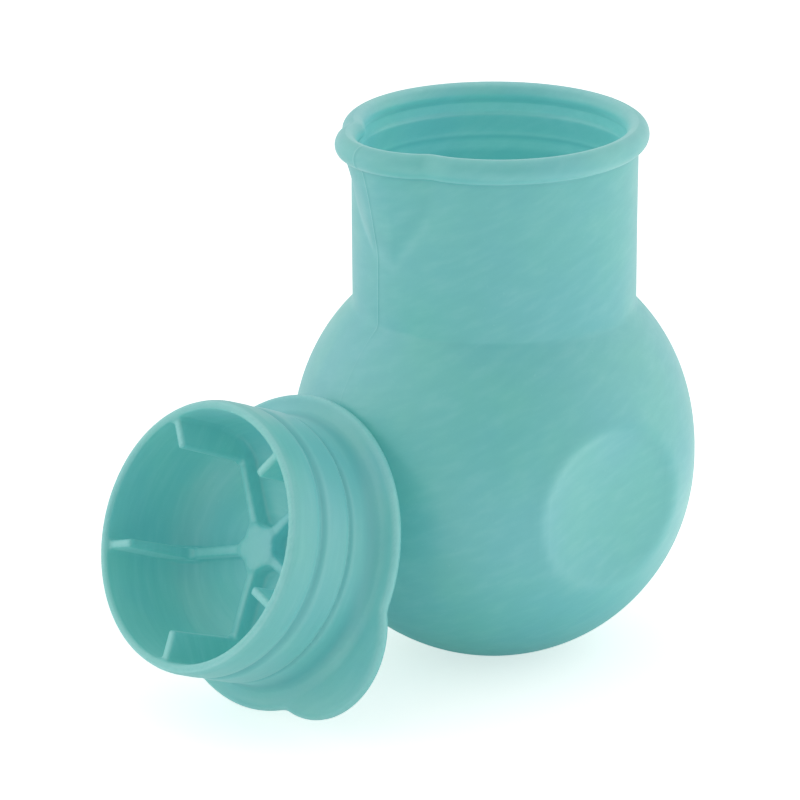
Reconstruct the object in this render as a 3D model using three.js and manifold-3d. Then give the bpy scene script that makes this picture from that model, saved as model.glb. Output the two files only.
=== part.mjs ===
// Squeezable silicone washing cup with a plug lid. Millimetres and degrees, +Z up.
// Origin: centre of the cup's foot, on the table. The lid is off and leans on the bulb.
import * as THREE from "three";
import { mergeVertices } from "three/addons/utils/BufferGeometryUtils.js";
import Module from "manifold-3d";

const wasm = await Module();
wasm.setup();

const { degToRad, radToDeg, clamp, lerp, smoothstep } = THREE.MathUtils;

// ---- cup dimensions ----
const CUP_SEGMENTS = 60;
const WALL = 2.5; // silicone wall of the bulb
const BOTTOM = 3; // thickness of the bottom at the axis
const BULB_R = 50.2; // largest outside radius of the bulb
const BULB_Z = 49.4; // height of that radius above the foot
// The bulb's halves are superellipses: virtual height from BULB_Z, and exponent.
const LOWER = { height: 51.4, power: 2.05 };
const UPPER = { height: 52.3, power: 2.11 };
const NECK_R = 34.95;
const BORE_R = 32.8; // inside of the neck, above the step
const BORE_LOW_R = 32.6; // inside of the neck, below the step
const STEP_Z = 121.9;
// Ring groove the lid's upper band snaps into.
const GROOVE = { bottom: 127.0, top: 130.2, depth: 0.5 };
// Rolled rim of elliptical section: centre and half axes. Its lip stands in over the bore.
const BEAD = { r: 34.7, z: 131.65, halfWidth: 2.8, halfHeight: 3.05 };
// Pouring lip and the V it draws down the neck.
const SPOUT = {
  azimuth: 212.3,
  halfAngle: 28,
  reach: 4.6,
  swellPower: 1.05,
  startZ: 100, // the wall is untouched up to here
  tipZ: 107.5, // foot of the V
  sideZ: 124.3, // top of the V's sides
  fullZ: 128.5, // full swell from here up
  sag: 2.5, // drop below tipZ on the counterclockwise side
  sagAngle: 13, // angle from the middle where the sag is deepest
  rise: 0.785, // climb of the V per degree beyond the sag
  pinch: 0.45, // inward draw of the wall at both ends of the lip
  pinchOffset: 3, // angle of its middle beyond the end of the lip
  pinchSpread: 4.5,
};
// Thumb dimples on opposite sides of the bulb.
const DIMPLE = {
  azimuths: [306.9, 126.9],
  elevation: -2,
  radius: 20.5,
  dish: 2.2, // depth below the plane of the dimple's edge
  blend: 1.4, // rounding between dish and bulb
  limit: 1.35, // reach of the rounding, in dimple radii
  zRange: [5, 88],
  minAlong: 20, // only the wall farther than this from the bulb's centre moves
};

// ---- lid dimensions, measured from the flange's middle plane ----
const LID_SEGMENTS = 48;
const FLANGE_R = 38.7;
const FLANGE_T = 2.9;
const FLANGE_BEVEL = 0.8;
const FLANGE_HALF = FLANGE_T / 2;
const TAB = { offset: 25.3, r: 20.9, azimuth: -35.3 }; // round pull tab, off the lid's axis
const PLUG_L = 30.0; // height of the plug's open end
const PLUG_R = 33.1; // crown of the sealing bands
const VALLEY_R = 32.35; // bottom of the grooves between the bands
const VALLEYS_Z = [10.7, 20.3]; // heights of those grooves
const ROOT = { r: 36.0, width: 3.0, height: 3.2 }; // concave root of the plug
const PLUG_IN_R = 30.6; // inside wall of the plug
const MOUTH_R = PLUG_IN_R + 0.35; // its flare at the open end
const FLOOR_Z = 4.6; // inside floor of the lid
const EMBED = 1; // how far hub, spokes and ribs are sunk into the floor
const HUB = { r: 5.4, rootR: 5.7, top: 9.0, segments: 24 };
const SPOKES = { count: 5, azimuth: 55.2, width: 2.4, top: HUB.top - 0.4 };
const RIB = { width: 2.3, innerR: 22.8, top: 28.9 }; // one on the plug's wall at each spoke
const BAR_END_R = PLUG_IN_R + 0.6; // spokes and ribs run into the plug's wall
const KEEP = { r: 31, bottom: -0.2 }; // spokes and ribs are trimmed to this cylinder
const RECESS = { r: 26.5, depth: 2.6, mouth: 1.2, slope: 2.6 }; // in the lid's outer face
const LID_CENTRE = [-51.75, -36.4, 36.15]; // middle of the flange
const LID_AXIS = { azimuth: 222.9, elevation: 22.6 }; // the way the plug points

// ---- helpers ----
function direction(azimuth, elevation) {
  const az = degToRad(azimuth);
  const el = degToRad(elevation);
  return new THREE.Vector3(
    Math.cos(el) * Math.cos(az),
    Math.cos(el) * Math.sin(az),
    Math.sin(el),
  );
}

function weld(geometry) {
  geometry.deleteAttribute("normal");
  geometry.deleteAttribute("uv");
  return mergeVertices(geometry, 1e-4);
}

// Signed volume: positive when the faces point out.
function signedVolume({ attributes, index }) {
  const corners = [0, 1, 2].map(() => new THREE.Vector3());
  let total = 0;
  for (let i = 0; i < index.count; i += 3) {
    corners.forEach((corner, k) => {
      corner.fromBufferAttribute(attributes.position, index.getX(i + k));
    });
    total += corners[0].dot(corners[1].cross(corners[2])) / 6;
  }
  return total;
}

// Revolves a profile of [radius, z] points about Z, with its faces pointing out.
function revolve(profile, segments) {
  const build = (points) => {
    const outline = points.map(([r, z]) => new THREE.Vector2(r, z));
    return weld(new THREE.LatheGeometry(outline, segments).rotateX(Math.PI / 2));
  };
  const geometry = build(profile);
  return signedVolume(geometry) > 0 ? geometry : build([...profile].reverse());
}

function toSolid(geometry) {
  return new wasm.Manifold(new wasm.Mesh({
    numProp: 3,
    vertProperties: new Float32Array(geometry.attributes.position.array),
    triVerts: new Uint32Array(geometry.index.array),
  }));
}

const revolveSolid = (profile) => toSolid(revolve(profile, LID_SEGMENTS));

function toGeometry(solid) {
  const mesh = solid.getMesh();
  const geometry = new THREE.BufferGeometry();
  const positions = new Float32Array(mesh.vertProperties);
  geometry.setAttribute("position", new THREE.BufferAttribute(positions, 3));
  geometry.setIndex(new THREE.BufferAttribute(new Uint32Array(mesh.triVerts), 1));
  return geometry;
}

// ---- cup body ----
// Height of a superellipse at a distance from its middle; it falls from peak to 0 over span.
function superellipse(distance, span, peak, power) {
  return peak * Math.pow(Math.max(1 - Math.pow(distance / span, power), 0), 1 / power);
}

// Points [radius, z] of the lower half at the given heights.
function lowerBulb(heights, bulbR, height) {
  return heights.map((z) => [superellipse(BULB_Z - z, height, bulbR, LOWER.power), z]);
}

// Height at which the upper half has narrowed to a radius.
function upperBulbZ(r, bulbR, height) {
  return BULB_Z + superellipse(r, bulbR, height, UPPER.power);
}

// Points [radius, z] of the upper half, at fractions of the way from BULB_Z to topZ.
function upperBulb(fractions, topZ, bulbR, height) {
  return fractions.map((fraction) => {
    const z = BULB_Z + (topZ - BULB_Z) * fraction;
    return [superellipse(z - BULB_Z, height, bulbR, UPPER.power), z];
  });
}

// From the underside of the bead over its top to the bore.
function beadProfile() {
  const [start, end, steps] = [-82, 180, 9];
  return Array.from({ length: steps + 1 }, (_, i) => {
    const angle = degToRad(start + ((end - start) * i) / steps);
    return [
      BEAD.r + BEAD.halfWidth * Math.cos(angle),
      BEAD.z + BEAD.halfHeight * Math.sin(angle),
    ];
  });
}

// Closed section: up the outside, over the rim and down the inside.
function cupProfile() {
  const outerHeights = [0, 0.9, 2.4, 4.6, 7.5, 11, 15, 19.5, 24.5, 30, 36, 42.5, BULB_Z];
  const innerHeights = [42, 35, 28.5, 22.5, 17, 12.5, 9, 6.3, 4.4, 3.4];
  const outerFractions = [0.16, 0.32, 0.47, 0.61, 0.73, 0.84, 0.93, 1];
  const innerFractions = [1, 0.92, 0.82, 0.7, 0.56, 0.4, 0.22, 0];
  const innerR = BULB_R - WALL;
  const innerHeight = UPPER.height - WALL;
  const outerTop = upperBulbZ(NECK_R + 0.5, BULB_R, UPPER.height);
  const innerTop = upperBulbZ(BORE_LOW_R + 0.3, innerR, innerHeight);
  const grooveR = BORE_R + GROOVE.depth;
  return [
    [0, 0],
    ...lowerBulb(outerHeights, BULB_R, LOWER.height),
    ...upperBulb(outerFractions, outerTop, BULB_R, UPPER.height),
    // fillet into the neck, and the neck
    [NECK_R + 0.12, outerTop + 0.9],
    [NECK_R, outerTop + 2.2],
    ...[100, 107.5, 112, 116, 120, 124.3, 127.3].map((z) => [NECK_R, z]),
    ...beadProfile(),
    // ring groove
    [BORE_R, GROOVE.top + 0.25],
    [grooveR, GROOVE.top - 0.35],
    [grooveR, GROOVE.bottom + 0.35],
    [BORE_R, GROOVE.bottom - 0.25],
    // step and lower bore
    [BORE_R, STEP_Z + 0.2],
    ...[STEP_Z - 0.2, 116, 111, 107.5, 98].map((z) => [BORE_LOW_R, z]),
    [BORE_LOW_R + 0.1, innerTop + 1],
    // inside of the bulb
    ...upperBulb(innerFractions, innerTop, innerR, innerHeight),
    ...lowerBulb(innerHeights, innerR, BULB_Z - BOTTOM),
    [0, BOTTOM],
  ];
}

// Minimum of two values, rounded where they are closer than blend.
function smoothMin(first, second, blend) {
  const overlap = Math.max(blend - Math.abs(first - second), 0) / blend;
  return Math.min(first, second) - overlap * overlap * blend * 0.25;
}

// How far a dimple pushes the wall in, at a distance from the dimple's axis.
function dimpleDepth(distance) {
  if (distance > DIMPLE.radius * DIMPLE.limit) return 0;
  const edgePlane = Math.sqrt(BULB_R ** 2 - DIMPLE.radius ** 2);
  const ball = Math.sqrt(BULB_R ** 2 - distance ** 2) - edgePlane;
  const dish = -DIMPLE.dish * (1 - (distance / DIMPLE.radius) ** 2);
  return ball - smoothMin(ball, dish, DIMPLE.blend);
}

// Height at which the spout leaves the neck, by angle from its middle: a straight line
// on the clockwise side seen from above, hanging lower on the other.
function creaseZ(side) {
  if (side <= 0) return lerp(SPOUT.tipZ, SPOUT.sideZ, Math.min(-side / SPOUT.halfAngle, 1));
  const sag = SPOUT.sag * smoothstep(side, 0, SPOUT.sagAngle);
  const rise = SPOUT.rise * Math.max(side - SPOUT.sagAngle, 0);
  return Math.min(SPOUT.tipZ - sag + rise, SPOUT.sideZ);
}

// How far the spout moves the neck's wall outward.
function spoutOffset(azimuth, z) {
  const side = ((azimuth - SPOUT.azimuth + 540) % 360) - 180;
  const fromMiddle = Math.abs(side);
  const fraction = fromMiddle / SPOUT.halfAngle;
  const start = creaseZ(side);
  const strength = clamp((z - start) / (SPOUT.fullZ - start), 0, 1);
  const profile = Math.pow(Math.max(1 - fraction * fraction, 0), SPOUT.swellPower);
  const pinchAngle = fromMiddle - SPOUT.halfAngle - SPOUT.pinchOffset;
  const pinch = SPOUT.pinch * Math.exp(-((pinchAngle / SPOUT.pinchSpread) ** 2));
  return (SPOUT.reach * profile - pinch) * strength;
}

function pushSpout(point) {
  const r = Math.hypot(point.x, point.y);
  const scale = 1 + spoutOffset(radToDeg(Math.atan2(point.y, point.x)), point.z) / r;
  point.x *= scale;
  point.y *= scale;
}

function pushDimple(point, axis) {
  const fromCentre = point.clone();
  fromCentre.z -= BULB_Z;
  const along = fromCentre.dot(axis);
  if (along <= DIMPLE.minAlong) return;
  const distance = Math.sqrt(Math.max(fromCentre.lengthSq() - along * along, 0));
  point.addScaledVector(axis, -dimpleDepth(distance));
}

function cupGeometry() {
  const geometry = revolve(cupProfile(), CUP_SEGMENTS);
  const positions = geometry.attributes.position;
  const axes = DIMPLE.azimuths.map((azimuth) => direction(azimuth, DIMPLE.elevation));
  const [dimpleBottom, dimpleTop] = DIMPLE.zRange;
  const point = new THREE.Vector3();
  for (let i = 0; i < positions.count; i++) {
    point.fromBufferAttribute(positions, i);
    if (point.z > SPOUT.startZ) pushSpout(point);
    if (point.z > dimpleBottom && point.z < dimpleTop) {
      for (const axis of axes) pushDimple(point, axis);
    }
    positions.setXYZ(i, ...point);
  }
  return geometry;
}

// ---- lid, along its own axis: flange's middle plane at z 0, plug towards +z ----
// Union of the flange's circle and the tab's circle, both inset by the bevel.
function flangeOutline() {
  const flangeR = FLANGE_R - FLANGE_BEVEL;
  const tabR = TAB.r - FLANGE_BEVEL;
  const crossX = (flangeR ** 2 - tabR ** 2 + TAB.offset ** 2) / (2 * TAB.offset);
  const crossY = Math.sqrt(flangeR ** 2 - crossX ** 2);
  const flangeAngle = Math.acos(crossX / flangeR);
  const tabAngle = Math.atan2(crossY, crossX - TAB.offset);
  const [flangeSteps, tabSteps] = [38, 14];
  const points = [];
  const addPoint = (centreX, r, angle) => {
    points.push(new THREE.Vector2(centreX + r * Math.cos(angle), r * Math.sin(angle)));
  };
  for (let i = 0; i <= flangeSteps; i++) {
    addPoint(0, flangeR, flangeAngle + (2 * (Math.PI - flangeAngle) * i) / flangeSteps);
  }
  for (let i = 1; i < tabSteps; i++) {
    addPoint(TAB.offset, tabR, -tabAngle + (2 * tabAngle * i) / tabSteps);
  }
  const origin = new THREE.Vector2();
  return points.map((point) => point.rotateAround(origin, degToRad(TAB.azimuth)));
}

function flangeSolid() {
  const geometry = new THREE.ExtrudeGeometry(new THREE.Shape(flangeOutline()), {
    depth: FLANGE_T - 2 * FLANGE_BEVEL,
    bevelEnabled: true,
    bevelThickness: FLANGE_BEVEL,
    bevelSize: FLANGE_BEVEL,
    bevelSegments: 2,
    steps: 1,
  });
  return toSolid(weld(geometry.translate(0, 0, FLANGE_BEVEL - FLANGE_HALF)));
}

// Points of one sealing band, at fractions of the way from bottom to top.
function sealingBand(bottom, top, fractions) {
  return fractions.map((fraction) => {
    const bulge = Math.pow(Math.sin(Math.PI * fraction), 0.45);
    return [lerp(VALLEY_R, PLUG_R, bulge), bottom + (top - bottom) * fraction];
  });
}

function plugSolid() {
  const root = [25, 50, 74].map(degToRad).map((angle) => [
    ROOT.r - ROOT.width * Math.sin(angle),
    FLANGE_HALF + ROOT.height * (1 - Math.cos(angle)),
  ]);
  const [valley1, valley2] = VALLEYS_Z;
  return revolveSolid([
    [0, 0.2 - FLANGE_HALF],
    [33, 0.2 - FLANGE_HALF],
    [36.4, FLANGE_HALF - 0.35],
    [ROOT.r, FLANGE_HALF],
    ...root,
    ...sealingBand(FLANGE_HALF + 2.0, valley1, [0.36, 0.62, 0.88]),
    [VALLEY_R, valley1],
    ...sealingBand(valley1, valley2, [0.12, 0.4, 0.7, 0.9]),
    [VALLEY_R, valley2],
    // the last band narrows to the plug's lip
    ...sealingBand(valley2, PLUG_L + 3.2, [0.1, 0.32, 0.6]),
    [32.75, PLUG_L - 0.9],
    [32.1, PLUG_L],
    [0, PLUG_L],
  ]);
}

function cavitySolid() {
  return revolveSolid([
    [0, FLOOR_Z],
    [20, FLOOR_Z],
    [24.5, FLOOR_Z + 0.7],
    [27.8, FLOOR_Z + 2.4],
    [29.5, FLOOR_Z + 5.2],
    [30.1, FLOOR_Z + 9],
    [PLUG_IN_R, PLUG_L - 1.2],
    [MOUTH_R, PLUG_L],
    [MOUTH_R, PLUG_L + 5],
    [0, PLUG_L + 5],
  ]);
}

// Upright bar along a radius, from innerR into the plug's wall.
function radialBar(innerR, width, top, angle) {
  const bottom = FLOOR_Z - EMBED;
  const box = new THREE.BoxGeometry(BAR_END_R - innerR, width, top - bottom);
  box.translate((innerR + BAR_END_R) / 2, 0, (top + bottom) / 2);
  return toSolid(weld(box).rotateZ(angle));
}

// Hub and spokes on the floor, ribs on the wall.
function spiderSolid() {
  const bottom = FLOOR_Z - EMBED;
  const hub = new THREE.CylinderGeometry(HUB.r, HUB.rootR, HUB.top - bottom, HUB.segments);
  hub.rotateX(Math.PI / 2).translate(0, 0, (HUB.top + bottom) / 2);
  let spider = toSolid(weld(hub));
  for (let i = 0; i < SPOKES.count; i++) {
    const angle = degToRad(SPOKES.azimuth + (360 / SPOKES.count) * i);
    spider = spider
      .add(radialBar(0, SPOKES.width, SPOKES.top, angle))
      .add(radialBar(RIB.innerR, RIB.width, RIB.top, angle));
  }
  const { r, bottom: keepBottom } = KEEP;
  return spider.intersect(
    revolveSolid([[0, keepBottom], [r, keepBottom], [r, PLUG_L], [0, PLUG_L]]),
  );
}

function recessSolid() {
  const face = -FLANGE_HALF;
  return revolveSolid([
    [0, face - 3],
    [RECESS.r + RECESS.mouth, face - 3],
    [RECESS.r + RECESS.mouth, face],
    [RECESS.r, face + RECESS.depth * 0.6],
    [RECESS.r - RECESS.slope, face + RECESS.depth],
    [0, face + RECESS.depth],
  ]);
}

function lidGeometry() {
  const shell = flangeSolid().add(plugSolid()).subtract(cavitySolid());
  return toGeometry(shell.add(spiderSolid()).subtract(recessSolid()));
}

// ---- the object ----
function siliconeMesh(name, geometry, materialName) {
  const material = new THREE.MeshStandardMaterial({
    name: materialName,
    color: new THREE.Color(0.42, 0.73, 0.71),
    roughness: 0.5,
    metalness: 0,
  });
  const mesh = new THREE.Mesh(geometry, material);
  mesh.name = name;
  return mesh;
}

// Stands the lid's z axis along LID_AXIS, with its x axis level.
function placedLid() {
  const axis = direction(LID_AXIS.azimuth, LID_AXIS.elevation);
  const level = new THREE.Vector3(0, 0, 1).cross(axis).normalize();
  const third = new THREE.Vector3().crossVectors(axis, level);
  const basis = new THREE.Matrix4().makeBasis(level, third, axis);
  const group = new THREE.Group();
  group.quaternion.setFromRotationMatrix(basis);
  group.position.set(...LID_CENTRE);
  group.add(siliconeMesh("lid", lidGeometry(), "lid_silicone"));
  return group;
}

const cup = new THREE.Group();
cup.add(siliconeMesh("cup_body", cupGeometry(), "cup_silicone"));

const washingCup = new THREE.Group();
washingCup.add(cup, placedLid());

export default washingCup;
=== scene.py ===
# A round silicone cup with a straight neck and a pouring spout, and its plug lid.
# The cup stands on z = 0 round the z axis. Its spout points to -x, -y. The lid is beside the
# cup on that side, its plug pointing away from the cup and slightly up. The camera looks along +y.
# Sizes are in mm and angles in degrees, up to the meshes, which are in metres.
# Azimuths run anticlockwise from +x.
import math

import bpy
import numpy as np
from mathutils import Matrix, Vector


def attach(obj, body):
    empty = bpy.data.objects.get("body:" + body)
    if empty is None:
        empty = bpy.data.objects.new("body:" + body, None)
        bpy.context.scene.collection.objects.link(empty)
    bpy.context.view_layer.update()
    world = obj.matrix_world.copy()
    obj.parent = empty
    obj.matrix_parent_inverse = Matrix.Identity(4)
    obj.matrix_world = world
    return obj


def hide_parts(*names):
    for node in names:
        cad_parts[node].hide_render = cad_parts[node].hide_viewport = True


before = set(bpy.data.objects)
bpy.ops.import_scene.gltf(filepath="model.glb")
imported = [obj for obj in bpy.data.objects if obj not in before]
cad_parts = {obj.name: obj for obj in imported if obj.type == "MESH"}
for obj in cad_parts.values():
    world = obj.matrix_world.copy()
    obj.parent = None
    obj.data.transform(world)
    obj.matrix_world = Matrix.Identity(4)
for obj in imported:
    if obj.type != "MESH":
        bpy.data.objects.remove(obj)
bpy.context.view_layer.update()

MM = 0.001
rad = math.radians

# ------------------------------------------------------------------ cup sizes
WALL = 2.5
BULB_R, BULB_Z = 50.2, 49.4  # the bulb at its widest
BULB_CENTRE = np.array([0, 0, BULB_Z])
LOW_H, LOW_POWER = 51.4, 2.05  # superellipse below the widest height
UP_H, UP_POWER = 52.3, 2.11  # superellipse above it
LOW_INNER_H = 46.4
NECK_R, NECK_TOP = 34.95, 128.4
BORE_R, BORE_LOW_R, STEP_Z = 32.8, 32.6, 121.9
GROOVE_LOW, GROOVE_TOP, GROOVE_D = 127.0, 130.2, 0.5  # ring groove in the bore
BEAD_R, BEAD_Z, BEAD_W, BEAD_H = 34.7, 131.65, 2.8, 3.05  # rounded rim
PARTINGS = (215.3, 215.3 - 180)  # azimuths of the mould's parting lines

SPOUT_AZ, SPOUT_HALF, SPOUT_OUT = 212.3, 28.0, 4.6  # middle, half its spread, reach
SPOUT_TIP_Z, SPOUT_SIDE_Z, SPOUT_FULL_Z = 107.5, 124.3, 128.5
SPOUT_PINCH = 0.45  # the neck is drawn in beside the spout
SPOUT_SAG, SPOUT_SAG_AT, SPOUT_RISE = 2.5, 13, 0.785  # mm, degrees, mm per degree
SPOUT_FINE = 36  # half the spread of the closely spaced columns

DIMPLE_AZS, DIMPLE_EL = (126.9 + 180, 126.9), -2.0
DIMPLE_R, DIMPLE_DISH, DIMPLE_BLEND = 20.5, 2.2, 1.0

# ------------------------------------------------------------------ lid sizes
FLANGE_R, FLANGE_T = 38.7, 2.9
FLANGE_HALF = FLANGE_T / 2
TAB_AT, TAB_R, TAB_AZ = 25.3, 20.9, -35.3
TAB_X, TAB_Y = TAB_AT * math.cos(rad(TAB_AZ)), TAB_AT * math.sin(rad(TAB_AZ))
PLUG_L, PLUG_R, PLUG_INNER_R = 30.0, 33.1, 30.6
GROOVE_NEAR, GROOVE_FAR = 10.7, 20.3  # the plug's grooves, from the flange's middle plane
FLOOR_AT, SPIDER_TOP, HUB_R, SPOKE_W = 4.6, 9.0, 5.4, 2.4
RIB_W, RIB_INNER_R, RIB_TOP = 2.3, 22.8, 28.9
ARMS, ARM_AZ = 5, 55.2
RECESS_R, RECESS_D = 26.5, 2.6
LID_AT = (-51.75, -36.4, 36.15)
LID_AXIS = (222.9, 22.6)  # azimuth and elevation of the plug
LID_CELL = 0.56
LID_GRID = (-41.0, -41.0, -3.0), (45.0, 41.0, 31.6)


# ------------------------------------------------------------------ small maths
def soft_min(a, b, blend):
    h = np.maximum(blend - np.abs(a - b), 0.0) / blend
    return np.minimum(a, b) - h * h * blend * 0.25


def soft_max(a, b, blend):
    return -soft_min(-a, -b, blend)


def rise(value, start, over):
    """0 up to start, then smoothly to 1 over the given length."""
    t = np.clip((value - start) / over, 0.0, 1.0)
    return t * t * (3 - 2 * t)


def fall(value, end, over):
    """1, then smoothly down to 0 at end, over the given length."""
    return rise(-value, -end, over)


def bell(distance, width):
    return np.exp(-((distance / width) ** 2))


def unit(az, el):
    return np.array([
        math.cos(rad(el)) * math.cos(rad(az)),
        math.cos(rad(el)) * math.sin(rad(az)),
        math.sin(rad(el)),
    ])


def turn_from(az, middle):
    """signed angle from middle to az, within half a turn."""
    return (az - middle + 540) % 360 - 180


def superellipse(t, length, width, power):
    """half-width at distance t along a half-axis of the given length."""
    return width * np.maximum(1 - (t / length) ** power, 0) ** (1 / power)


# ------------------------------------------------------------------ meshes
def make_object(name, points, faces, **layers):
    """a smooth object from points in metres, with one float attribute per layer."""
    mesh = bpy.data.meshes.new(name)
    mesh.from_pydata(points.tolist(), [], faces)
    mesh.update()
    for key, values in layers.items():
        layer = mesh.attributes.new(key, "FLOAT", "POINT")
        layer.data.foreach_set("value", np.clip(values, 0, 1).astype(np.float32))
    for face in mesh.polygons:
        face.use_smooth = True
    obj = bpy.data.objects.new(name, mesh)
    bpy.context.scene.collection.objects.link(obj)
    return obj


def resample(points, step_at):
    """points along a (radius, z) polyline, step_at(radius, z) apart."""
    length = np.r_[0, np.cumsum(np.hypot(*np.diff(points, axis=0).T))]

    def point_at(s):
        return np.array([np.interp(s, length, points[:, i]) for i in (0, 1)])

    out, s = [points[0]], 0.0
    while True:
        s += step_at(*point_at(s))
        if s >= length[-1] - 0.2:
            break
        out.append(point_at(s))
    out.append(points[-1])
    return np.array(out)


def soften(points, rounds):
    """rounds off the corners of a polyline, its ends kept."""
    for _ in range(rounds):
        softer = points.copy()
        softer[1:-1] = points[1:-1] * 0.5 + (points[:-2] + points[2:]) * 0.25
        points = softer
    return points


# ------------------------------------------------------------------ cup
def bulb_low(z, radius, height):
    return np.c_[superellipse(BULB_Z - z, height, radius, LOW_POWER), z]


def bulb_up(z, radius, height):
    return np.c_[superellipse(z - BULB_Z, height, radius, UP_POWER), z]


def cup_profile():
    """(radius, z) from the middle of the foot, up the outside, over the bead, down the inside."""
    foot_r = superellipse(BULB_Z, LOW_H, BULB_R, LOW_POWER)
    neck_z = BULB_Z + superellipse(NECK_R, BULB_R, UP_H, UP_POWER)
    inner_r, inner_h = BULB_R - WALL, UP_H - WALL
    bore_z = BULB_Z + superellipse(BORE_LOW_R, inner_r, inner_h, UP_POWER)

    angle = np.radians(np.linspace(-84, 180, 60))
    bead = np.c_[BEAD_R + BEAD_W * np.cos(angle), BEAD_Z + BEAD_H * np.sin(angle)]
    outside = np.vstack([
        [(0, 0.0), (foot_r - 0.5, 0.0), (foot_r + 0.35, 0.22)],
        bulb_low(np.linspace(0.4, BULB_Z, 240), BULB_R, LOW_H),
        bulb_up(np.linspace(BULB_Z, neck_z, 240)[1:], BULB_R, UP_H),
        [(NECK_R, neck_z + 0.4), (NECK_R, NECK_TOP)],
        bead[:30],
    ])
    bore = [
        (BORE_R, GROOVE_TOP + 0.25),
        (BORE_R + GROOVE_D, GROOVE_TOP - 0.3),
        (BORE_R + GROOVE_D, GROOVE_LOW + 0.3),
        (BORE_R, GROOVE_LOW - 0.25),
        (BORE_R, STEP_Z + 0.25),
        (BORE_LOW_R, STEP_Z - 0.25),
    ]
    inside = np.vstack([
        bead[29:],
        bore,
        bulb_up(np.linspace(bore_z, BULB_Z, 240), inner_r, inner_h),
        bulb_low(np.linspace(BULB_Z, BULB_Z - LOW_INNER_H, 400)[1:], inner_r, LOW_INNER_H),
    ])
    inside[-1, 0] = 0  # closes exactly on the axis

    def outside_step(radius, z):
        if radius < 13:
            return 2.0
        if z < 1.5:
            return 0.3
        if z > 105:
            return 0.55 if z < 127.5 else 0.3
        return 0.3 if abs(z - neck_z) < 3 else 1.0

    def inside_step(radius, z):
        if z > 120.5:
            return 0.32
        if abs(z - bore_z) < 2.5:
            return 0.4
        return 1.6 if radius > 8 else 2.2

    points = np.vstack([resample(outside, outside_step), resample(inside, inside_step)[1:]])
    # rounder where the neck leaves the bulb
    near_neck = np.maximum(1 - (np.abs(points[:, 1] - neck_z) / 2.6) ** 2, 0)[:, None]
    return soften(points, 2) * (1 - near_neck) + soften(points, 14) * near_neck


def cup_azimuths():
    """columns of the cup's mesh, closer at the spout and closest at the parting lines."""
    out = [a for a in np.arange(0, 360, 2.1) if abs(turn_from(a, SPOUT_AZ)) > SPOUT_FINE]
    out += list(np.arange(SPOUT_AZ - SPOUT_FINE, SPOUT_AZ + SPOUT_FINE + 0.1, 1.1))
    half = (0.12, 0.24, 0.38, 0.55, 0.8, 1.2)
    for parting in PARTINGS:
        out = [a for a in out if abs(a - parting) > 1.35]
        out += [parting + turn for turn in (*(-t for t in half), 0, *half)]
    return np.array(sorted(out))


def spout_foot(az):
    """height at which the spout starts to leave the neck, lowest a little past its middle."""
    turn = turn_from(az, SPOUT_AZ)
    slope = SPOUT_SIDE_Z - SPOUT_TIP_Z
    plain = SPOUT_TIP_Z + slope * np.minimum(np.abs(turn) / SPOUT_HALF, 1)
    sagging = (SPOUT_TIP_Z - SPOUT_SAG * rise(turn, 0, SPOUT_SAG_AT)
               + SPOUT_RISE * np.maximum(turn - SPOUT_SAG_AT, 0))
    return np.where(turn > 0, np.minimum(sagging, SPOUT_SIDE_Z), plain)


def spout_out(az, z):
    """how far the spout moves the wall outwards."""
    turn = np.abs(turn_from(az, SPOUT_AZ))
    side = turn / SPOUT_HALF
    foot = spout_foot(az)
    t = (z - foot) / (SPOUT_FULL_Z - foot)
    # a soft fold along the V, and a soft change into the rim
    fold = 0.10
    t = np.where(t < -fold, 0, np.where(t < fold, (t + fold) ** 2 / (4 * fold), np.minimum(t, 1)))
    t = t - 0.10 * np.sin(np.pi * t) * t
    arch = 1 - side * side
    swell = SPOUT_OUT * 0.5 * (arch + np.sqrt(arch * arch + 0.006)) * fall(side, 1.35, 0.3)
    pinch = SPOUT_PINCH * bell(turn - SPOUT_HALF - 3, 4.5)
    return (swell - pinch) * t


def from_dimple(points, az):
    """a dimple's axis, the points from the bulb's centre, their places along and off the axis."""
    axis = unit(az, DIMPLE_EL)
    offset = points - BULB_CENTRE
    along = offset @ axis
    off_axis = np.sqrt(np.maximum((offset ** 2).sum(-1) - along * along, 0))
    return axis, offset, along, off_axis


def dimple_depth(off_axis):
    edge = math.sqrt(BULB_R ** 2 - DIMPLE_R ** 2)
    ball = np.sqrt(np.maximum(BULB_R ** 2 - off_axis ** 2, 0)) - edge
    dish = -DIMPLE_DISH * (1 - (off_axis / DIMPLE_R) ** 2)
    depth = ball - soft_min(ball, dish, DIMPLE_BLEND)
    return np.where(off_axis > DIMPLE_R * 1.35, 0.0, depth)


def parting_arcs(az, radius):
    """distances round the cup from each parting line."""
    return [np.radians(turn_from(az, parting)) * radius for parting in PARTINGS]


def cup_points(radius, z, az, outer):
    # soft, uneven wall
    wobble = (0.10 * np.sin(np.radians(3 * az) + 0.045 * z) * np.sin(0.05 * z + 1.1)
              + 0.06 * np.sin(np.radians(5 * az) - 0.08 * z + 0.7))
    wobble *= rise(z, 6, 20) * rise(radius, 14, 10)
    # parting line: a fine raised line down both sides
    line = sum(0.13 * bell(arc, 0.19) for arc in parting_arcs(az, radius))
    line *= outer * rise(radius, 10, 8) * (0.3 + 0.7 * rise(z, 84, 6))
    moved = radius + wobble + spout_out(az, z) + line
    points = np.stack([moved * np.cos(np.radians(az)), moved * np.sin(np.radians(az)), z], -1)
    for dimple_az in DIMPLE_AZS:
        axis, _, along, off_axis = from_dimple(points, dimple_az)
        depth = np.where((along > 20) & (z > 5) & (z < 88), dimple_depth(off_axis), 0)
        points = points - depth[..., None] * axis
    return points


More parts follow.
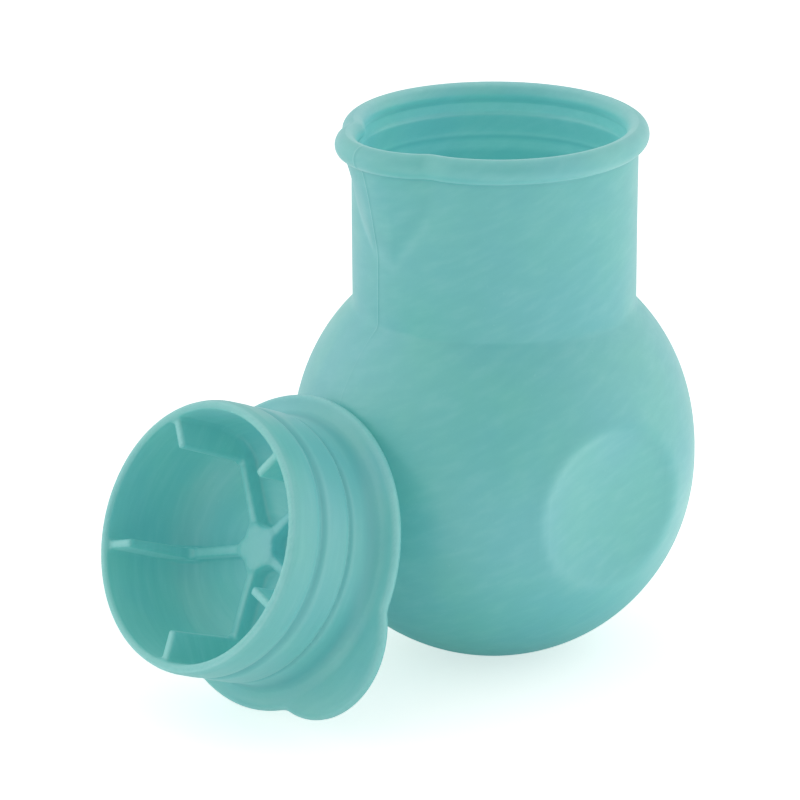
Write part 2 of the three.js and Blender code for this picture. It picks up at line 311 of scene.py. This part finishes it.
def cup_paint(points, radius, z, az, outer):
    """painted light in three layers: painted shade in hollows and creases, painted highlights on
    edges and lit bands, and where the inside is painted to glow.
    """
    inside = 1 - outer
    turn = turn_from(az, SPOUT_AZ)
    foot = spout_foot(az)
    in_spout = fall(np.abs(turn) / SPOUT_HALF, 1.15, 0.2) * (z < 127.3)

    # painted shade in the crease under the bead and at the top of the ring groove
    shade = 0.55 * outer * bell(z - 128.3, 0.55) + 0.50 * inside * bell(z - 130.6, 0.5)
    # painted shade on the bore below the groove, and on the step
    shade += inside * (0.42 * fall(z, 127.0, 0.4) * rise(z, 121.0, 3)
                       + 0.75 * bell(z - 121.1, 0.42))
    # painted shade deep in the bore
    shade += 0.45 * inside * fall(z, 117.7, 0.5)
    # painted shade above the spout's fold
    shade += 0.26 * outer * bell(z - (foot + 5.0), 2.8) * in_spout

    # painted highlight along the spout's fold, softer on its sagging side
    fold = np.where(turn > 0, 0.20 * bell(z - foot + 0.4, 2.0), 0.38 * bell(z - foot, 0.9))
    pale = outer * in_spout * fold
    # painted light on the bead: over all of it, a painted highlight on its lower outer edge, and one
    # on its top towards the bore
    pale += 0.15 * rise(z, 129.4, 1.2) + 0.50 * outer * bell(z - 129.35, 0.42)
    pale += 0.55 * bell(z - 134.5, 0.55) * (radius < BEAD_R)
    # painted light on bands in the bore: the groove, the wall under it, and below the step
    pale += inside * (0.42 * rise(z, 127.3, 0.3) * fall(z, 130.0, 0.3)
                      + 0.12 * (z > 121.6) * (z < 127)
                      + 0.26 * rise(z, 118.0, 0.3) * fall(z, 120.5, 0.3))

    # painted shade on one side of each parting line and a painted highlight on the other, stronger on
    # the neck
    neck = 0.15 + 0.85 * rise(z, 84, 6)
    for arc in parting_arcs(az, radius):
        shade += 0.46 * outer * neck * bell(arc - 0.42, 0.28)
        pale += 0.30 * outer * neck * bell(arc + 0.05, 0.28)

    # painted highlight and painted shade along the fold round a dimple, crisp towards the spout and
    # weaker at the bottom
    for dimple_az in DIMPLE_AZS:
        _, offset, along, off_axis = from_dimple(points, dimple_az)
        on = outer * (along > 20) * (z < 88)
        sideways = np.array([math.sin(rad(dimple_az)), -math.cos(rad(dimple_az)), 0])
        across = np.clip((offset @ sideways) / 17 * (1 if dimple_az > 180 else -1), -1, 1)
        high = 0.60 + 0.40 * np.clip((z - BULB_Z + 3) / 16, -1, 1)
        near, far = rise(across, -0.35, 1.2), fall(across, 0.3, 1.1)
        pale += on * high * near * 0.46 * bell(off_axis - 19.4, 1.2)
        pale += on * 0.05 * near * fall(off_axis, 20.0, 1.5)
        shade += on * high * (0.36 * near * bell(off_axis - 22.6, 1.9)
                              + 0.42 * far * bell(off_axis - 18.7, 1.5))
    # the third layer marks where the inside is painted to glow
    return shade, pale, inside * fall(z, 134.4, 3.0)


def make_cup():
    profile = cup_profile()
    azimuths = cup_azimuths()
    rings, columns = len(profile) - 2, len(azimuths)
    radius, az = np.meshgrid(profile[1:-1, 0], azimuths, indexing="ij")
    z = np.repeat(profile[1:-1, 1][:, None], columns, 1)
    # 1 on the rings up to the top of the bead, 0 on those inside
    outer = (np.arange(rings) <= np.argmax(profile[1:-1, 1]))[:, None] * np.ones_like(z)
    points = cup_points(radius, z, az, outer)
    shade, pale, inner = cup_paint(points, radius, z, az, outer)

    # a point on the axis closes the foot, another the inside's bottom
    verts = np.vstack([[[0, 0, profile[0, 1]]], points.reshape(-1, 3), [[0, 0, profile[-1, 1]]]])
    last = len(verts) - 1
    here = 1 + np.arange(rings * columns).reshape(rings, columns)
    beside = np.roll(here, -1, 1)
    faces = np.stack([here[:-1], beside[:-1], beside[1:], here[1:]], -1).reshape(-1, 4).tolist()
    faces += [(0, int(beside[0, j]), int(here[0, j])) for j in range(columns)]
    faces += [(last, int(here[-1, j]), int(beside[-1, j])) for j in range(columns)]
    return make_object(
        "cup_shell", verts * MM, faces,
        shade=np.r_[0, shade.ravel(), 0],
        pale=np.r_[0, pale.ravel(), 0],
        inner=np.r_[0, inner.ravel(), 1],
    )


# ------------------------------------------------------------------ lid, as one smooth implicit solid
def tab_distance(x, y):
    return np.hypot(x - TAB_X, y - TAB_Y) - TAB_R


def plug_solid(radius, z):
    """plug with three bands parted by two grooves, the last band narrowing to a lip."""

    def groove(at, depth, width):
        return depth * np.exp(-np.abs((z - at) / width) ** 1.8)

    body = PLUG_R + 0.1 * np.sin((z - 8) / 22 * np.pi) - 0.5 * rise(z, 27.6, 2.4)
    body = body - groove(GROOVE_FAR, 0.95, 1.25) - groove(GROOVE_NEAR, 0.80, 0.70)
    # the band next to the flange is a little narrower
    body = body - 0.225 * fall(z, GROOVE_NEAR + 0.9, 1.0) * rise(z, 2.0, 6.0)
    plug = soft_max(radius - body, z - PLUG_L, 0.9)
    return soft_max(plug, -(z + FLANGE_HALF - 0.3), 0.2)


def spider_solid(x, y, z, radius):
    """hub, spokes and a rib up the wall at the end of each spoke."""
    spider = np.full_like(z, 1e3)
    for k in range(ARMS):
        a = rad(ARM_AZ + 360 // ARMS * k)
        along = x * math.cos(a) + y * math.sin(a)
        across = np.abs(-x * math.sin(a) + y * math.cos(a))
        spoke = across - SPOKE_W / 2 - 0.25 * fall(along, 12, 8)
        spoke = soft_max(soft_max(spoke, z - (SPIDER_TOP - 0.35), 0.7), -along, 0.5)
        lean = 0.35 * rise(z, 8, 20)
        rib = soft_max(across - (RIB_W / 2 + 0.15 - lean * 0.6), z - RIB_TOP, 0.7)
        rib = soft_max(rib, (RIB_INNER_R + lean * 1.2) - along, 0.7)
        spider = np.minimum(spider, soft_min(spoke, rib, 1.6))
    spider = soft_min(spider, soft_max(radius - HUB_R, z - SPIDER_TOP, 0.9), 1.8)
    spider = soft_max(spider, radius - (PLUG_INNER_R + 0.9), 0.1)
    return soft_max(spider, -(z - 1.6), 0.1)


def lid_field(x, y, z):
    """below 0 inside the silicone; lid's own axes, flange's middle plane at z 0."""
    radius = np.hypot(x, y)
    outline = soft_min(radius - FLANGE_R, tab_distance(x, y), 0.9)
    flange = soft_max(outline, np.abs(z) - FLANGE_HALF, 1.9)
    solid = soft_min(flange, plug_solid(radius, z), 4.2)
    # the hollow inside the plug
    wall = PLUG_INNER_R - 0.35 + 0.35 * np.clip(z / PLUG_L, 0, 1)
    solid = soft_max(solid, -soft_max(radius - wall, FLOOR_AT - z, 13.0), 0.8)
    solid = soft_min(solid, spider_solid(x, y, z, radius), 1.1)
    # recess in the outer face
    recess = soft_max(radius - RECESS_R, z - (-FLANGE_HALF + RECESS_D), 2.6)
    recess = soft_max(recess, -(z + FLANGE_HALF + 4.0), 0.1)
    return soft_max(solid, -recess, 1.2)


def gradient(field, points, reach=0.02):
    slope = np.empty_like(points)
    for i in range(3):
        d = np.zeros(3)
        d[i] = reach
        slope[:, i] = (field(*(points + d).T) - field(*(points - d).T)) / (2 * reach)
    return slope


def surface_nets(field, lo, hi, cell):
    """a closed quad mesh of field = 0, its points then moved onto the exact surface."""
    ticks = [np.arange(lo[i], hi[i] + cell, cell) for i in range(3)]
    values = field(*np.meshgrid(*ticks, indexing="ij"))
    inside = values < 0
    cells = [len(t) - 1 for t in ticks]

    def at_corner(grid, corner):
        return grid[tuple(slice(c, c + n) for c, n in zip(corner, cells))]

    # one point per crossed cell, at the mean of the crossings on its edges
    total = np.zeros((*cells, 3))
    count = np.zeros(cells)
    for corner in np.ndindex(2, 2, 2):
        for axis in range(3):
            if corner[axis]:
                continue
            end = list(corner)
            end[axis] = 1
            a, b = at_corner(values, corner), at_corner(values, end)
            crossed = at_corner(inside, corner) != at_corner(inside, end)
            t = np.where(crossed, a / np.where(crossed, a - b, 1), 0)
            for i in range(3):
                total[..., i] += np.where(crossed, corner[i] + (t if i == axis else 0), 0)
            count += crossed
    active = count > 0
    ids = np.full(cells, -1, np.int64)
    ids[active] = np.arange(active.sum())
    base = np.stack(np.nonzero(active), -1)
    points = (base + total[active] / count[active][:, None]) * cell + np.array(lo)

    # one quad round each crossed grid edge
    quads = []
    for axis, u, v in ((0, 1, 2), (1, 2, 0), (2, 0, 1)):
        start, end = [slice(None)] * 3, [slice(None)] * 3
        start[axis], end[axis] = slice(0, -1), slice(1, None)
        a, b = inside[tuple(start)], inside[tuple(end)]
        edges = np.stack(np.nonzero(a != b), -1)
        edges = edges[(edges[:, u] > 0) & (edges[:, v] > 0)
                      & (edges[:, u] < cells[u]) & (edges[:, v] < cells[v])]
        corners = []
        for du, dv in ((-1, -1), (0, -1), (0, 0), (-1, 0)):
            neighbour = edges.copy()
            neighbour[:, u] += du
            neighbour[:, v] += dv
            corners.append(ids[tuple(neighbour.T)])
        quad = np.stack(corners, -1)
        flip = ~a[tuple(edges.T)]
        quad[flip] = quad[flip][:, ::-1]
        quads.append(quad)

    for _ in range(4):
        slope = gradient(field, points)
        step = field(*points.T) / np.maximum((slope ** 2).sum(1), 0.05)
        points = points - np.clip(step, -0.5 * cell, 0.5 * cell)[:, None] * slope
    return points, np.vstack(quads)


def lid_paint(points):
    """the same three layers of painted light as on the cup."""
    x, y, z = points.T
    radius = np.hypot(x, y)
    normal = gradient(lid_field, points)
    normal /= np.linalg.norm(normal, axis=1)[:, None]
    outward = (normal[:, 0] * x + normal[:, 1] * y) / np.maximum(radius, 1)
    flat = rise(normal[:, 2], 0.7, 0.25)
    outside = (radius > 31.2) & (z > 0)
    hollow = (radius < 30.9) & (z > 3.5)
    from_rim = -np.minimum(radius - FLANGE_R, tab_distance(x, y))

    # painted shade in the two grooves
    shade = outside * (bell(z - GROOVE_FAR + 0.1, 1.0) + bell(z - GROOVE_NEAR, 0.60))
    # painted shade in the corner between plug and flange
    shade += 0.88 * (z > 1.2) * bell(z - 4.0, 2.0) * rise(radius, 31.6, 0.8) * fall(radius, 34.9, 1.6)
    # painted shade over all of the plug's outside, more before the first groove
    shade += ((0.20 + 0.10 * (z < GROOVE_NEAR)) * outside
              * rise(z, 3, 3) * fall(z, 30.2, 0.8))
    # painted shade on the ribs' edges that face the axis, then on the steep sides low in the hollow
    shade += 0.34 * hollow * (z > 9.5) * (z < 27.5) * bell(radius - RIB_INNER_R, 0.9)

    # painted highlights on the tops of the spider and of its ribs
    pale = hollow * flat * rise(z, 8.2, 0.4) * (0.26 * (z < 10) + 0.40 * (z > 27))
    # painted highlights on the plug's end and its outer edge
    pale += 0.40 * bell(z - PLUG_L, 0.45) * (radius > 30)
    pale += (0.95 * (z > 28.6) * (radius > 32)
             * bell(normal[:, 2] - 0.66, 0.28) * (outward > 0))
    # painted highlights on the bands' edges just before the grooves
    pale += outside * (0.34 * bell(z - (GROOVE_FAR - 1.9), 0.5)
                       + 0.22 * bell(z - (GROOVE_NEAR - 1.3), 0.5))
    # a painted highlight on the flange's edge, then painted light on its face on the plug's side
    pale += 0.65 * bell(from_rim - 0.3, 0.5) * (z > -0.4) * (radius > 34)
    pale += 0.20 * (radius > 33.8) * (z > 1.0) * (z < 2.2)
    shade += 0.45 * hollow * (1 - flat) * fall(z, 9, 5) * (radius < 25)
    # the hollow is painted to glow
    return shade, pale, hollow * 0.25


def make_lid():
    points, quads = surface_nets(lid_field, *LID_GRID, LID_CELL)
    axis = unit(*LID_AXIS)
    level = np.cross([0, 0, 1], axis)
    level /= np.linalg.norm(level)
    third = np.cross(axis, level)
    placed = (points[:, :1] * level + points[:, 1:2] * third + points[:, 2:3] * axis
              + np.array(LID_AT))
    shade, pale, inner = lid_paint(points)
    obj = make_object("lid_shell", placed * MM, quads.tolist(),
                      shade=shade, pale=pale, inner=inner)
    # grain coordinates: rings round the plug's axis, and round the flange's face
    x, y, z = points.T
    rings = np.c_[x, y, z + 0.7 * np.hypot(x, y)] * MM
    grain = obj.data.attributes.new("grain", "FLOAT_VECTOR", "POINT")
    grain.data.foreach_set("vector", rings.astype(np.float32).ravel())
    return obj


# ------------------------------------------------------------------ shader nodes
class Graph:
    """the emptied node tree of a material or world, with short ways to add nodes."""

    def __init__(self, owner):
        owner.use_nodes = True
        self.tree = owner.node_tree
        self.tree.nodes.clear()

    def node(self, kind, inputs=None, **settings):
        """a node whose inputs are given as sockets to link or as plain values."""
        node = self.tree.nodes.new("ShaderNode" + kind)
        for key, value in settings.items():
            setattr(node, key, value)
        for key, value in (inputs or {}).items():
            if isinstance(value, bpy.types.NodeSocket):
                self.tree.links.new(value, node.inputs[key])
            else:
                node.inputs[key].default_value = value
        return node

    def math(self, operation, a, b):
        return self.node("Math", {0: a, 1: b}, operation=operation).outputs[0]

    def ramp(self, value, across, to=(0.0, 1.0), curve="LINEAR"):
        return self.node("MapRange", {
            "Value": value,
            "From Min": across[0], "From Max": across[1],
            "To Min": to[0], "To Max": to[1],
        }, interpolation_type=curve).outputs[0]

    def mix(self, factor, first, second):
        first, second = ((*c, 1) if isinstance(c, tuple) else c for c in (first, second))
        return self.node("Mix", {0: factor, 6: first, 7: second}, data_type="RGBA").outputs[2]

    def attribute(self, name):
        return self.node("Attribute", attribute_name=name)

    def noise(self, vector, scale, detail, roughness):
        return self.node("TexNoise", {
            "Vector": vector, "Scale": scale, "Detail": detail, "Roughness": roughness,
        }).outputs[0]


# ------------------------------------------------------------------ silicone
GREEN = (0.130, 0.490, 0.455)
BLUE = (0.118, 0.460, 0.472)
# DEEP darkens the flow streaks and is the painted shade; PALE lightens streaks and dust and is the
# painted highlight and sheen
DEEP = (0.075, 0.375, 0.385)
PALE = (0.34, 0.68, 0.67)
# painted glow strengths: the silicone glows though it is no lamp
PAINTED_GLOW, PAINTED_GLOW_INSIDE = 0.235, 0.13  # emission everywhere, and added on the inside


def slanted_grain(graph, place):
    """turned first, then stretched, so that the grain runs on a slant."""
    turned = graph.node("Mapping", {"Vector": place, "Rotation": (0, rad(25), 0)}).outputs[0]
    return graph.node("Mapping", {"Vector": turned, "Scale": (120, 140, 430)}).outputs[0]


def ring_grain(graph):
    own = graph.attribute("grain").outputs["Vector"]
    return graph.node("Mapping", {"Vector": own, "Scale": (62, 62, 520)}).outputs[0]


def silicone(name, rings=False):
    material = bpy.data.materials.new(name)
    graph = Graph(material)
    place = graph.node("TexCoord").outputs["Object"]

    def layer(key):
        return graph.attribute(key).outputs["Fac"]

    # slow drift of the pigment between a greener and a bluer teal
    cloud = graph.noise(place, scale=34, detail=3, roughness=0.5)
    colour = graph.mix(graph.ramp(cloud, across=(0.36, 0.64)), GREEN, BLUE)
    # flow streaks left by moulding, light and dark
    grain = ring_grain(graph) if rings else slanted_grain(graph, place)
    streak = graph.noise(grain, scale=1.0, detail=3, roughness=0.55)
    colour = graph.mix(graph.ramp(streak, across=(0.50, 0.74), to=(0.0, 0.10)), colour, PALE)
    colour = graph.mix(graph.ramp(streak, across=(0.50, 0.28), to=(0.0, 0.13)), colour, DEEP)
    # fine dust
    dust = graph.noise(place, scale=1500, detail=2, roughness=0.5)
    colour = graph.mix(graph.ramp(dust, across=(0.68, 0.80), to=(0.0, 0.16)), colour, PALE)
    # painted highlights on edges and lit bands, slightly broken up, and painted shade in hollows and
    # creases, as marked on the mesh
    broken = graph.noise(place, scale=420, detail=3, roughness=0.6)
    broken = graph.ramp(broken, across=(0.3, 0.6), to=(0.72, 1.0))
    painted_highlight = graph.math("MULTIPLY", layer("pale"), broken)
    colour = graph.mix(graph.math("MULTIPLY", painted_highlight, 0.55), colour, PALE)
    colour = graph.mix(graph.math("MULTIPLY", layer("shade"), 0.70), colour, DEEP)
    # painted sheen: paler at a grazing angle
    facing = graph.node("LayerWeight", {"Blend": 0.32}).outputs["Facing"]
    colour = graph.mix(graph.ramp(facing, across=(0.45, 1.0), to=(0.0, 0.16)), colour, PALE)
    # painted glow: the silicone glows everywhere, more on the inside, standing in for light through
    # the wall
    painted_glow = graph.math("ADD", graph.math("MULTIPLY", layer("inner"), PAINTED_GLOW_INSIDE), PAINTED_GLOW)
    # matt, unevenly so
    handled = graph.noise(place, scale=60, detail=4, roughness=0.6)
    # fine mould grain over soft flow waves
    waves = graph.node("Bump", {"Strength": 0.22, "Distance": 0.0004, "Height": streak})
    fine = graph.node("Bump", {
        "Strength": 0.12,
        "Distance": 0.00012,
        "Height": graph.noise(place, scale=2400, detail=3, roughness=0.6),
        "Normal": waves.outputs[0],
    })
    surface = graph.node("BsdfPrincipled", {
        "Base Color": colour,
        "Emission Color": colour,
        "Emission Strength": painted_glow,
        "Roughness": graph.ramp(handled, across=(0.3, 0.7), to=(0.38, 0.50)),
        "IOR": 1.5,
        "Specular IOR Level": 1.0,
        "Subsurface Weight": 0.15,
        "Subsurface Radius": (0.6, 1.2, 1.15),
        "Subsurface Scale": 0.002,
        "Sheen Weight": 0.25,
        "Sheen Roughness": 0.5,
        "Sheen Tint": (0.86, 0.97, 1.0, 1),
        "Normal": fine.outputs[0],
    })
    graph.node("OutputMaterial", {0: surface.outputs[0]})
    return material


# ------------------------------------------------------------------ stage
def floor_material():
    """a white table to the camera, and to all other rays one with a painted teal bounce, painted
    shade and a painted glow near the cup.
    """
    material = bpy.data.materials.new("floor")
    graph = Graph(material)
    camera_ray = graph.node("LightPath").outputs["Is Camera Ray"]
    place = graph.node("TexCoord").outputs["Object"]
    x = graph.node("SeparateXYZ", {0: place}).outputs[0]
    distance = graph.node("VectorMath", {0: place}, operation="LENGTH").outputs["Value"]

    def graded(value, across, to=(0.0, 1.0)):
        return graph.ramp(value, across, to, curve="SMOOTHSTEP")

    # painted teal bounce and painted shade close to the cup, seen by all but camera rays
    tint = graph.mix(graded(distance, across=(0.02, 0.085)), (0.50, 0.98, 0.94), (1, 1, 1))
    painted_floor_shade = graph.node("VectorMath", {
        0: tint, "Scale": graded(distance, across=(0.02, 0.15), to=(0.30, 1.0)),
    }, operation="SCALE").outputs[0]
    diffuse = graph.node("BsdfDiffuse", {0: graph.mix(camera_ray, painted_floor_shade, (0.88, 0.86, 0.85))})
    # painted bounce light: the floor glows for all but camera rays, weak under the cup, fading
    # further out, stronger towards +x
    fill = graded(distance, across=(0.015, 0.07), to=(0.24, 0.50))
    fade = graded(distance, across=(0.08, 0.24), to=(1.0, 0.20))
    lean = graded(x, across=(-0.04, 0.10), to=(0.45, 1.25))
    painted_bounce_glow = graph.math("MULTIPLY", graph.math("MULTIPLY", fill, fade), lean)
    seen = 0.58  # glow that the camera sees
    emission = graph.node("Emission", {
        0: graph.mix(camera_ray, tint, (1, 1, 0.985)),
        1: graph.node("Mix", {0: camera_ray, 2: painted_bounce_glow, 3: seen}).outputs[0],
    })
    both = graph.node("AddShader", {0: diffuse.outputs[0], 1: emission.outputs[0]})
    graph.node("OutputMaterial", {0: both.outputs[0]})
    return material


def make_floor():
    bpy.ops.mesh.primitive_plane_add(size=6, location=(0, 0, -0.0002))
    floor = bpy.context.object
    floor.name = "floor"
    floor.data.materials.append(floor_material())


def make_world(scene):
    """soft studio surround: bright at both sides and above, dimmer behind the camera."""
    world = bpy.data.worlds.new("studio")
    scene.world = world
    graph = Graph(world)
    direction = graph.node("TexCoord").outputs["Generated"]
    x, y, z = graph.node("SeparateXYZ", {0: direction}).outputs

    def towards(value, strength):
        return graph.math("MULTIPLY", graph.math("MAXIMUM", value, 0.0), strength)

    total = graph.math("MULTIPLY", graph.math("MULTIPLY", x, x), 0.94)  # both sides
    for term in (
        towards(z, 0.24),  # above
        towards(graph.math("MULTIPLY", y, -1.0), -0.13),  # behind the camera
        towards(y, 0.30),  # beyond the cup
        towards(x, -0.02),  # right
        0.322,  # everywhere
    ):
        total = graph.math("ADD", total, term)
    background = graph.node("Background", {0: (1, 1, 1, 1), 1: total})
    graph.node("OutputWorld", {0: background.outputs[0]})


def make_camera(scene):
    camera = bpy.data.objects.new("camera", bpy.data.cameras.new("camera"))
    scene.collection.objects.link(camera)
    scene.camera = camera
    camera.location = (-0.0232, -1.0327, 0.4285)
    down = rad(19.52)
    view = Vector((0, math.cos(down), -math.sin(down)))
    camera.rotation_mode = "QUATERNION"
    camera.rotation_quaternion = view.to_track_quat("-Z", "Y")
    camera.data.sensor_width = 36
    camera.data.lens = 198.495
    camera.data.clip_start, camera.data.clip_end = 0.05, 20


# ------------------------------------------------------------------ build
cup = make_cup()
cup.data.materials.append(silicone("cup_silicone"))
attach(cup, "cup")
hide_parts("cup_body")

lid = make_lid()
lid.data.materials.append(silicone("lid_silicone", rings=True))
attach(lid, "lid_body")
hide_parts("lid")

scene = bpy.context.scene
scene.view_settings.view_transform = "Standard"
scene.view_settings.look = "None"
make_floor()
make_world(scene)
make_camera(scene)
